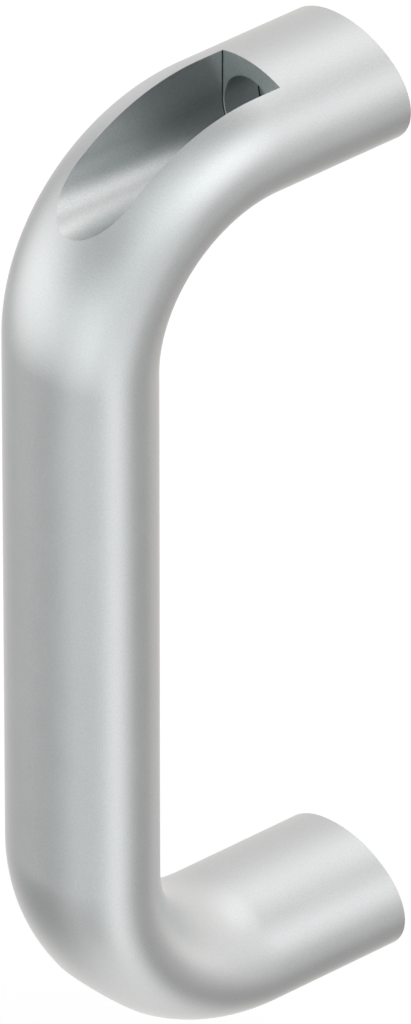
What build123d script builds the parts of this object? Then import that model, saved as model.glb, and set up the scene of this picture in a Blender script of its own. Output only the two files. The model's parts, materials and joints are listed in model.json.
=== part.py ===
from build123d import *
import os

# Bow handle for cabinet doors, drawers and machine covers, all in one piece.
# An oval aluminium bar is bent to a U. Each leg is milled open from the front:
# a U-shaped pocket lets in the screw and its key, and ends at a flat wall with
# a bore for the head of the screw.
#
# Frame, in millimetres: the leg ends stand on the plane Y = 0, against the door,
# and the origin lies midway between the two screw holes. The legs run to -Y, and
# the grip is upright, along Z.

# The oval bar
bar_width = 26.0  # across the bow, along X
bar_thickness = 17.0  # in the plane of the bow
inner_bend_radius = 17.0  # on the inside of both bends

# The bow
hole_spacing = 132.0  # between the screw holes, which lie on the axes of the legs
handle_height = 55.0  # from the door to the front of the grip

# The screw's seat in each leg, for a socket head cap screw of 6 mm
seat_thickness = 11.0  # from the door to the face under the screw's head
head_bore_depth = 6.0
head_bore_diameter = 11.4
screw_hole_diameter = 6.6
pocket_clearance = 0.3  # between the head bore and each side wall of the pocket

# Finish of the machined edges
leg_edge_break = 0.2  # round the leg ends and the mouths of the screw holes
head_bore_edge_break = 0.15
cut_overrun = 1.0  # how far a cut runs past the surface that it opens

bend_radius = inner_bend_radius + bar_thickness / 2
grip_axis_y = bar_thickness / 2 - handle_height
leg_axis_z = hole_spacing / 2
pocket_wall = seat_thickness + head_bore_depth  # from the door
pocket_width = head_bore_diameter + 2 * pocket_clearance


def oval_section():
    """The bar's section: an outer half, which the pockets open, and an inner half."""
    outer = EllipticalCenterArc((0, 0), bar_width / 2, bar_thickness / 2, 0, arc_size=180)
    return make_face(outer + mirror(outer, about=Plane.XZ))


def bent_bar():
    """The oval bar, from one leg end round both bends to the other leg end."""
    path = FilletPolyline(
        (0, 0, leg_axis_z),
        (0, grip_axis_y, leg_axis_z),
        (0, grip_axis_y, -leg_axis_z),
        (0, 0, -leg_axis_z),
        radius=bend_radius,
    )
    leg_end = Plane(origin=path @ 0, x_dir=(1, 0, 0), z_dir=path % 0)
    return sweep(leg_end * oval_section(), path=path)


def round_cut(diameter, start, end):
    """A round hole on the leg's axis, between two distances from the door."""
    return Pos(0, 0, start) * extrude(Circle(diameter / 2), end - start)


def screw_cuts():
    """All that is milled from the upper leg, on its axis, seen from the front."""
    reach = bar_thickness / 2 + cut_overrun
    outward = Pos(0, reach / 2) * Rectangle(pocket_width, reach)
    pocket = Circle(pocket_width / 2) + outward
    front = handle_height + cut_overrun
    cuts = Pos(0, 0, pocket_wall) * extrude(pocket, front - pocket_wall)
    cuts += round_cut(head_bore_diameter, seat_thickness, pocket_wall + cut_overrun)
    cuts += round_cut(screw_hole_diameter, -cut_overrun, seat_thickness + cut_overrun)
    leg = Plane(origin=(0, 0, leg_axis_z), x_dir=(1, 0, 0), z_dir=(0, -1, 0))
    return leg * cuts


def head_bore_mouths(handle):
    """The edges where the bores for the screw heads meet the pocket walls."""
    at_wall = handle.edges().filter_by_position(
        Axis.Y, -pocket_wall - cut_overrun / 2, -pocket_wall + cut_overrun / 2
    )
    circles = at_wall.filter_by(GeomType.CIRCLE)
    return circles.filter_by(lambda edge: edge.radius < pocket_width / 2)


def bow_handle():
    """The bent bar with both legs milled and its machined edges broken."""
    upper_cuts = screw_cuts()
    handle = bent_bar() - upper_cuts - mirror(upper_cuts, about=Plane.XY)
    handle = chamfer(handle.edges().group_by(Axis.Y)[-1], leg_edge_break)
    return chamfer(head_bore_mouths(handle), head_bore_edge_break)


os.makedirs("parts", exist_ok=True)
export_step(bow_handle(), "parts/bow_handle.step")
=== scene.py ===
import json
import math
import bmesh
import bpy
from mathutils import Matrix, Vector


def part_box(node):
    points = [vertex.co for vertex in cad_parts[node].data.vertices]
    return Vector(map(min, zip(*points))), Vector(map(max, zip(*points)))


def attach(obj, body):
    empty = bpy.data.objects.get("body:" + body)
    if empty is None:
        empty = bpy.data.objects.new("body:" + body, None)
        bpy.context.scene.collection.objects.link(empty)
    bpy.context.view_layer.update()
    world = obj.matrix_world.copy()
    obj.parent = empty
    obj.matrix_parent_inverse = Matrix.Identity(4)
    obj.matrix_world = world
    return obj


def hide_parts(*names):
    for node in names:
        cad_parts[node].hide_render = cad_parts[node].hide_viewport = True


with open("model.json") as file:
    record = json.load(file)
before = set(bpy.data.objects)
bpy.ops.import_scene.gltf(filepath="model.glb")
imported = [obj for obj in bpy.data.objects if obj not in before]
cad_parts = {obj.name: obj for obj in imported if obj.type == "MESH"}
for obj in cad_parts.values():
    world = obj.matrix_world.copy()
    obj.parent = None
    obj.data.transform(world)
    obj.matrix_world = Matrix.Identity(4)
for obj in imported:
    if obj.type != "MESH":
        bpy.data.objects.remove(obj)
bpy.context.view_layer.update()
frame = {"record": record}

# The handle is one oval bar of aluminium, bent to a U and milled at both bends for
# its screws. It is blasted with fine beads and clear anodised, which leaves a silk
# matt skin, with a coarser grain on the milled faces.

mm = 0.001
mounts = {mount["name"]: mount for mount in frame["record"]["mounts"]}
low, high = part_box("bow_handle")
leg_axis = mounts["screw_holes"]["dims"]["spacing_y_mm"] * mm / 2
bar_width = high.x - low.x
bar_thickness = 2 * (high.z - leg_axis)
inner_bend_radius = 17 * mm
bend_radius = inner_bend_radius + bar_thickness / 2
grip_axis = low.y + bar_thickness / 2
leg_length = -grip_axis - bend_radius  # from the door to the start of the bend
leg_edge_break = 0.2 * mm

screw_hole_radius = mounts["screw_holes"]["dims"]["hole_r_mm"] * mm
head_bore_radius = mounts["upper_head_bore"]["dims"]["r_mm"] * mm
head_bore_edge_break = 0.15 * mm
seat_depth = 11 * mm  # from the door, as the pocket's depth is
pocket_depth = 17 * mm
pocket_radius = 6 * mm
cut_overrun = 1 * mm

ring_points = 160
bend_steps = 72
edge_steps = 3
pocket_points = 96
mouth_steps = 4
sharp_angle = math.radians(30)
island_angle = math.radians(66)
island_gap = 0.01  # as a share of the map's width
tiny = 0.001 * mm  # points this close count as touching


def start_ring(name, points, radius_x, radius_z, y, z):
    """A new object with one oval ring of points, upright and facing the door, open in edit mode."""
    bpy.ops.object.select_all(action="DESELECT")
    bpy.ops.mesh.primitive_circle_add(vertices=points, radius=1, rotation=(math.pi / 2, 0, 0))
    ring = bpy.context.object
    ring.name = name
    ring.scale = (radius_x, radius_z, 1)
    ring.location = (0, y, z)
    bpy.ops.object.transform_apply()
    bpy.ops.object.mode_set(mode="EDIT")
    bpy.ops.mesh.select_all(action="SELECT")
    return ring


def extrude(x, y, z):
    """Pulls what is selected along a way, with new sides behind it."""
    bpy.ops.mesh.extrude_region_move(TRANSFORM_OT_translate={"value": (x, y, z)})


def pick(solid, wanted):
    """Selects the points in edit mode whose place is wanted, with the edges and faces between them."""
    mesh = bmesh.from_edit_mesh(solid.data)
    for vertex in mesh.verts:
        vertex.select_set(wanted(vertex.co))
    mesh.select_flush_mode()
    bmesh.update_edit_mesh(solid.data)


def close_solid():
    """Turns every face of a finished solid outwards and leaves edit mode."""
    bpy.ops.mesh.select_all(action="SELECT")
    bpy.ops.mesh.normals_make_consistent(inside=False)
    bpy.ops.object.mode_set(mode="OBJECT")


def cut(solid, cutter):
    """Mills the cutter's shape out of the solid, and clears the cutter away."""
    milling = solid.modifiers.new("milling", "BOOLEAN")
    milling.operation = "DIFFERENCE"
    milling.solver = "EXACT"
    milling.object = cutter
    bpy.context.view_layer.objects.active = solid
    bpy.ops.object.modifier_apply(modifier=milling.name)
    bpy.data.objects.remove(cutter)


# Upper half of the bow: the leg, the bend and the grip down to its middle.
handle = start_ring("handle", ring_points, bar_width / 2, bar_thickness / 2, 0, leg_axis)
extrude(0, -leg_length, 0)
bend_centre = (0, -leg_length, leg_axis - bend_radius)
bpy.ops.mesh.spin(steps=bend_steps, angle=math.pi / 2, center=bend_centre, axis=(-1, 0, 0))
extrude(0, 0, bend_radius - leg_axis)
pick(handle, lambda place: place.z < tiny)
bpy.ops.mesh.edge_face_add()
pick(handle, lambda place: place.y > -tiny)
bpy.ops.mesh.edge_face_add()
bpy.ops.mesh.bevel(offset=leg_edge_break, segments=edge_steps, affect="EDGES")
close_solid()

# The pocket is a slot with a half round floor, milled from the front and open outwards.
pocket = start_ring("pocket", pocket_points, pocket_radius, pocket_radius, -pocket_depth, leg_axis)
pick(pocket, lambda place: place.z > leg_axis + tiny)
bpy.ops.mesh.delete(type="VERT")
pick(pocket, lambda place: place.z > leg_axis - tiny)
extrude(0, 0, bar_thickness / 2 + cut_overrun)
bpy.ops.mesh.edge_face_add()
bpy.ops.mesh.select_all(action="SELECT")
bpy.ops.mesh.edge_face_add()
extrude(0, low.y - cut_overrun + pocket_depth, 0)
close_solid()
cut(handle, pocket)

# The screw's way through the leg: a plain hole, then a wider bore that takes its head.
# Each mouth is rounded over a quarter turn.
turns = [math.pi / 2 * step / mouth_steps for step in range(mouth_steps + 1)]
hole_mouth = [
    (leg_edge_break * (1 - math.cos(turn)), screw_hole_radius + leg_edge_break * (1 - math.sin(turn)))
    for turn in turns
]
bore_mouth = [
    (
        pocket_depth - head_bore_edge_break * (1 - math.sin(turn)),
        head_bore_radius + head_bore_edge_break * (1 - math.cos(turn)),
    )
    for turn in turns
]
seat = [(seat_depth, screw_hole_radius), (seat_depth, head_bore_radius)]
depth, radius = -cut_overrun, hole_mouth[0][1]
way_out = [(pocket_depth + cut_overrun, bore_mouth[-1][1])]
screw_way = start_ring("screw_way", pocket_points, radius, radius, -depth, leg_axis)
bpy.ops.mesh.edge_face_add()
for next_depth, next_radius in hole_mouth + seat + bore_mouth + way_out:
    extrude(0, depth - next_depth, 0)
    growth = next_radius / radius
    centre = (0, -next_depth, leg_axis)
    bpy.ops.transform.resize(value=(growth, 1, growth), center_override=centre)
    depth, radius = next_depth, next_radius
close_solid()
cut(handle, screw_way)

# The lower half is the mirror of the upper one, joined at the middle of the grip.
bpy.ops.object.mode_set(mode="EDIT")
pick(handle, lambda place: place.z < tiny)
bpy.ops.mesh.delete(type="ONLY_FACE")
bpy.ops.object.mode_set(mode="OBJECT")
other_half = handle.modifiers.new("other_half", "MIRROR")
other_half.use_axis = (False, False, True)
other_half.merge_threshold = tiny
bpy.ops.object.modifier_apply(modifier=other_half.name)
bpy.ops.object.mode_set(mode="EDIT")
bpy.ops.mesh.select_all(action="SELECT")
bpy.ops.mesh.remove_doubles(threshold=tiny)
bpy.ops.mesh.dissolve_degenerate(threshold=tiny)
close_solid()

# A baked finish lies on a map of this name. The gaps between its islands keep the painted shade of the
# inside corners off the skin.
bpy.ops.object.mode_set(mode="EDIT")
bpy.ops.mesh.select_all(action="SELECT")
bpy.ops.uv.smart_project(angle_limit=island_angle, margin_method="FRACTION", island_margin=island_gap)
bpy.ops.object.mode_set(mode="OBJECT")
handle.data.uv_layers.active.name = "OFBake"

# Round faces shade smoothly into each other, and edges stay sharp.
bpy.ops.object.shade_smooth_by_angle(angle=sharp_angle)
even_shading = handle.modifiers.new("even_shading", "WEIGHTED_NORMAL")
even_shading.keep_sharp = True
bpy.ops.object.modifier_apply(modifier=even_shading.name)

# Milled faces are marked, because they keep a coarser grain than the skin, and only they get painted
# shade in inside corners.
milled = handle.data.attributes.new("milled", "FLOAT", "FACE")
for face in handle.data.polygons:
    across = face.center.x
    along = abs(face.center.z) - leg_axis
    at_leg_end = face.center.y > -tiny
    in_screw_way = math.hypot(across, along) < head_bore_radius + tiny
    in_slot = math.hypot(across, min(along, 0)) < pocket_radius + tiny
    in_pocket = in_slot and face.center.y < tiny - pocket_depth
    milled.data[face.index].value = at_leg_end or in_screw_way or in_pocket


class Shade:
    """One output socket of a node. Sums, differences and products of sockets add their Math nodes."""

    def __init__(self, socket):
        self.socket = socket

    @classmethod
    def node(cls, tree, kind, settings, sockets, output=0):
        """A node of one kind: its settings are set first, then the values or links of its sockets."""
        made = tree.nodes.new(kind)
        for name, value in settings.items():
            setattr(made, name, value)
        for name, value in sockets.items():
            if isinstance(value, Shade):
                tree.links.new(value.socket, made.inputs[name])
            else:
                made.inputs[name].default_value = value
        return None if output is None else cls(made.outputs[output])

    def maths(self, operation, first, second):
        """A Math node on two values, each of them a socket or a number."""
        sockets = {0: first, 1: second}
        return Shade.node(self.socket.id_data, "ShaderNodeMath", {"operation": operation}, sockets)

    def __add__(self, other):
        return self.maths("ADD", self, other)

    def __radd__(self, other):
        return self.maths("ADD", other, self)

    def __sub__(self, other):
        return self.maths("SUBTRACT", self, other)

    def __rsub__(self, other):
        return self.maths("SUBTRACT", other, self)

    def __mul__(self, other):
        return self.maths("MULTIPLY", self, other)

    def __rmul__(self, other):
        return self.maths("MULTIPLY", other, self)


def blasted_aluminium(finish):
    """Fills a material with the silk matt skin of blasted and anodised aluminium, and painted shade in
    the inside corners of milled faces.
    """
    metal_colour = (0.664, 0.700, 0.698)
    bead_mark = 0.18 * mm
    bead_dent = 0.012 * mm
    cloud_size = 7 * mm
    noise_middle = 0.5

    # How far the metal's tone varies.
    skin_grain = 0.25
    milled_grain = 0.42
    cloud_tone = 0.05

    # The roughness, and how far it varies.
    silk_roughness = 0.42
    milled_polish = 0.03
    bead_gloss = 0.05
    cloud_gloss = 0.06

    # Milled faces get painted shade in inside corners: they darken to black as their openness falls
    # from the start to the end.
    corner_shade_reach = 0.4 * mm
    corner_shade_rays = 16
    corner_shade_start = 0.8
    corner_shade_end = 0.55

    finish.use_nodes = True
    tree = finish.node_tree
    tree.nodes.clear()
    place = Shade.node(tree, "ShaderNodeTexCoord", {}, {}, "Object")
    beads = Shade.node(
        tree, "ShaderNodeTexNoise", {}, {"Vector": place, "Scale": 1 / bead_mark, "Detail": 1}
    )
    clouds = Shade.node(
        tree, "ShaderNodeTexNoise", {}, {"Vector": place, "Scale": 1 / cloud_size, "Detail": 3}
    )
    openness = Shade.node(
        tree,
        "ShaderNodeAmbientOcclusion",
        {"samples": corner_shade_rays, "only_local": True},
        {"Distance": corner_shade_reach},
        "AO",
    )
    painted_corner_shade = Shade.node(
        tree,
        "ShaderNodeMapRange",
        {},
        {"Value": openness, "From Min": corner_shade_start, "From Max": corner_shade_end},
    )
    milled = Shade.node(tree, "ShaderNodeAttribute", {"attribute_name": "milled"}, {}, "Fac")
    grain = skin_grain + milled * (milled_grain - skin_grain)
    uneven_beads = beads - noise_middle
    uneven_clouds = clouds - noise_middle
    # The tone holds the grain and, on milled faces, the painted shade of inside corners.
    tone = (1 + uneven_beads * grain + uneven_clouds * cloud_tone) * (1 - milled * painted_corner_shade)
    colour = Shade.node(
        tree, "ShaderNodeVectorMath", {"operation": "SCALE"}, {"Vector": metal_colour, "Scale": tone}
    )
    face_roughness = silk_roughness - milled * milled_polish
    roughness = face_roughness + uneven_beads * bead_gloss + uneven_clouds * cloud_gloss
    dents = Shade.node(tree, "ShaderNodeBump", {}, {"Height": beads, "Distance": bead_dent})
    skin = Shade.node(
        tree,
        "ShaderNodeBsdfPrincipled",
        {"distribution": "GGX"},
        {"Base Color": colour, "Metallic": 1, "Roughness": roughness, "Normal": dents},
    )
    Shade.node(tree, "ShaderNodeOutputMaterial", {}, {"Surface": skin}, None)


aluminium = bpy.data.materials.new("blasted_aluminium")
blasted_aluminium(aluminium)
handle.data.materials.append(aluminium)
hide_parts("bow_handle")
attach(handle, "root")

# The studio is a plain white room with a pale floor, a little below the handle. Soft lamps
# and dark flags stand all round it, which give the metal its light and dark bands.

white = (1, 1, 1, 1)
floor_gap = 0.045
floor_size = 3
floor_paint = (0.8, 0.8, 0.8, 1)
floor_glow = 0.31
room_brightness = 1.0
cool_white = (0.993, 1, 1.012, 1)
warm_white = (1.063, 1, 0.984, 1)
cool_side = (20, 30)  # azimuth and elevation, in degrees

# The floor takes the shadow. It neither stands before the low lamps nor shows in the metal.
bpy.ops.object.select_all(action="DESELECT")
bpy.ops.mesh.primitive_plane_add(size=floor_size, location=(0, 0, low.z - floor_gap))
floor = bpy.context.object
floor.name = "floor"
bpy.ops.object.transform_apply()
floor.visible_glossy = False
floor.visible_shadow = False


def pale_floor(finish):
    """Fills a material with matt paint that looks white to the camera and takes a soft shadow."""
    finish.use_nodes = True
    tree = finish.node_tree
    tree.nodes.clear()
    seen = Shade.node(tree, "ShaderNodeLightPath", {}, {}, "Is Camera Ray")
    paint = Shade.node(tree, "ShaderNodeBsdfDiffuse", {}, {"Color": floor_paint})
    glow = Shade.node(tree, "ShaderNodeEmission", {}, {"Color": white, "Strength": seen * floor_glow})
    both = Shade.node(tree, "ShaderNodeAddShader", {}, {0: paint, 1: glow})
    Shade.node(tree, "ShaderNodeOutputMaterial", {}, {"Surface": both}, None)


def direction(azimuth, elevation):
    """The way to a place in the room, in degrees round from the front and up from level."""
    around = math.radians(azimuth)
    above = math.radians(elevation)
    level = math.cos(above)
    return Vector((math.sin(around) * level, -math.cos(around) * level, math.sin(above)))


def facing(tree, ray, azimuth, elevation):
    """How nearly a ray points to a place in the room: 1 straight at it, -1 straight away."""
    return Shade.node(
        tree,
        "ShaderNodeVectorMath",
        {"operation": "DOT_PRODUCT"},
        {0: ray, 1: direction(azimuth, elevation)},
        "Value",
    )


def soft_patch(tree, ray, azimuth, elevation, radius, brightness):
    """A round patch of the room with a soft edge. Its radius is in degrees, as seen from the handle."""
    edge = math.cos(math.radians(radius))
    nearness = facing(tree, ray, azimuth, elevation)
    return Shade.node(
        tree,
        "ShaderNodeMapRange",
        {"interpolation_type": "SMOOTHSTEP"},
        {"Value": nearness, "From Min": edge, "From Max": 1, "To Max": brightness},
    )


def white_room(tree):
    """Lights the handle from all sides, and shows plain white behind it."""
    tree.nodes.clear()
    ray = Shade.node(tree, "ShaderNodeTexCoord", {}, {}, "Generated")
    brightness = room_brightness
    for azimuth, elevation, radius, gain in (
        (54, 47, 29, 0.40),  # soft box over the camera
        (104, 44, 32, 0.91),  # soft box on the right
        (-51, -3, 39, 1.53),  # lamp on the left
        (-3, -11, 36, 0.77),  # lamp in front
        (42, -38, 28, 0.54),  # low lamp under the camera
        (-157, 48, 25, 0.68),  # high lamp behind
        (148, -26, 40, 0.60),  # lamp behind on the right
        (-110, -45, 28, 0.25),  # low lamp on the left
    ):
        brightness = brightness + soft_patch(tree, ray, azimuth, elevation, radius, gain)
    for azimuth, elevation, radius, loss in (
        (-45, -11, 67, 1.03),  # wide flag round the lamp on the left
        (25, -41, 24, 0.95),  # small flag low in front
        (123, -23, 48, 0.61),  # flag on the right
        (157, -41, 42, 0.69),  # flag low behind
        (127, 30, 22, 0.43),  # small flag under the soft box on the right
        (70, 20, 45, 0.23),  # flag beside the camera
        (10, 32, 26, 0.57),  # flag in front
        (-60, 60, 28, 0.74),  # high flag on the left
        (-122, 20, 24, 0.19),  # small flag behind on the left
        (165, 74, 22, 0.63),  # small flag high behind
        (0, 90, 40, 0.24),  # flag overhead
    ):
        brightness = brightness - soft_patch(tree, ray, azimuth, elevation, radius, loss)

    # The white is coolest on the cool side and warms evenly towards the far side of the room.
    # A Mix node has its two colours on sockets 6 and 7, and their mix on output 2.
    warmth = 0.5 - 0.5 * facing(tree, ray, *cool_side)
    colour = Shade.node(
        tree,
        "ShaderNodeMix",
        {"data_type": "RGBA"},
        {"Factor": warmth, 6: cool_white, 7: warm_white},
        2,
    )
    lamps = Shade.node(tree, "ShaderNodeBackground", {}, {"Color": colour, "Strength": brightness})
    backdrop = Shade.node(tree, "ShaderNodeBackground", {}, {"Color": white, "Strength": 1})
    seen = Shade.node(tree, "ShaderNodeLightPath", {}, {}, "Is Camera Ray")
    both = Shade.node(tree, "ShaderNodeMixShader", {}, {0: seen, 1: lamps, 2: backdrop})
    Shade.node(tree, "ShaderNodeOutputWorld", {}, {"Surface": both}, None)


paint = bpy.data.materials.new("pale_floor")
pale_floor(paint)
floor.data.materials.append(paint)
room = bpy.data.worlds.new("white_room")
room.use_nodes = True
white_room(room.node_tree)
bpy.context.scene.world = room

# The camera stands far off with a very long lens, so that the picture is nearly
# a parallel projection.

lens = 650
azimuth = 50.494
elevation = 34.183
distance = 2.508
aside = -0.019199
above = -0.004177
view_limit = 100

around = math.radians(azimuth)
right = Vector((math.cos(around), math.sin(around), 0))
back = direction(azimuth, elevation)
up = back.cross(right)
camera_data = bpy.data.cameras.new("camera")
camera_data.lens = lens
camera_data.clip_end = view_limit
camera = bpy.data.objects.new("camera", camera_data)
camera.location = right * aside + up * above + back * distance
camera.rotation_mode = "QUATERNION"
camera.rotation_quaternion = (-back).to_track_quat("-Z", "Y")
bpy.context.scene.collection.objects.link(camera)
bpy.context.scene.camera = camera
bpy.context.scene.view_settings.view_transform = "Standard"
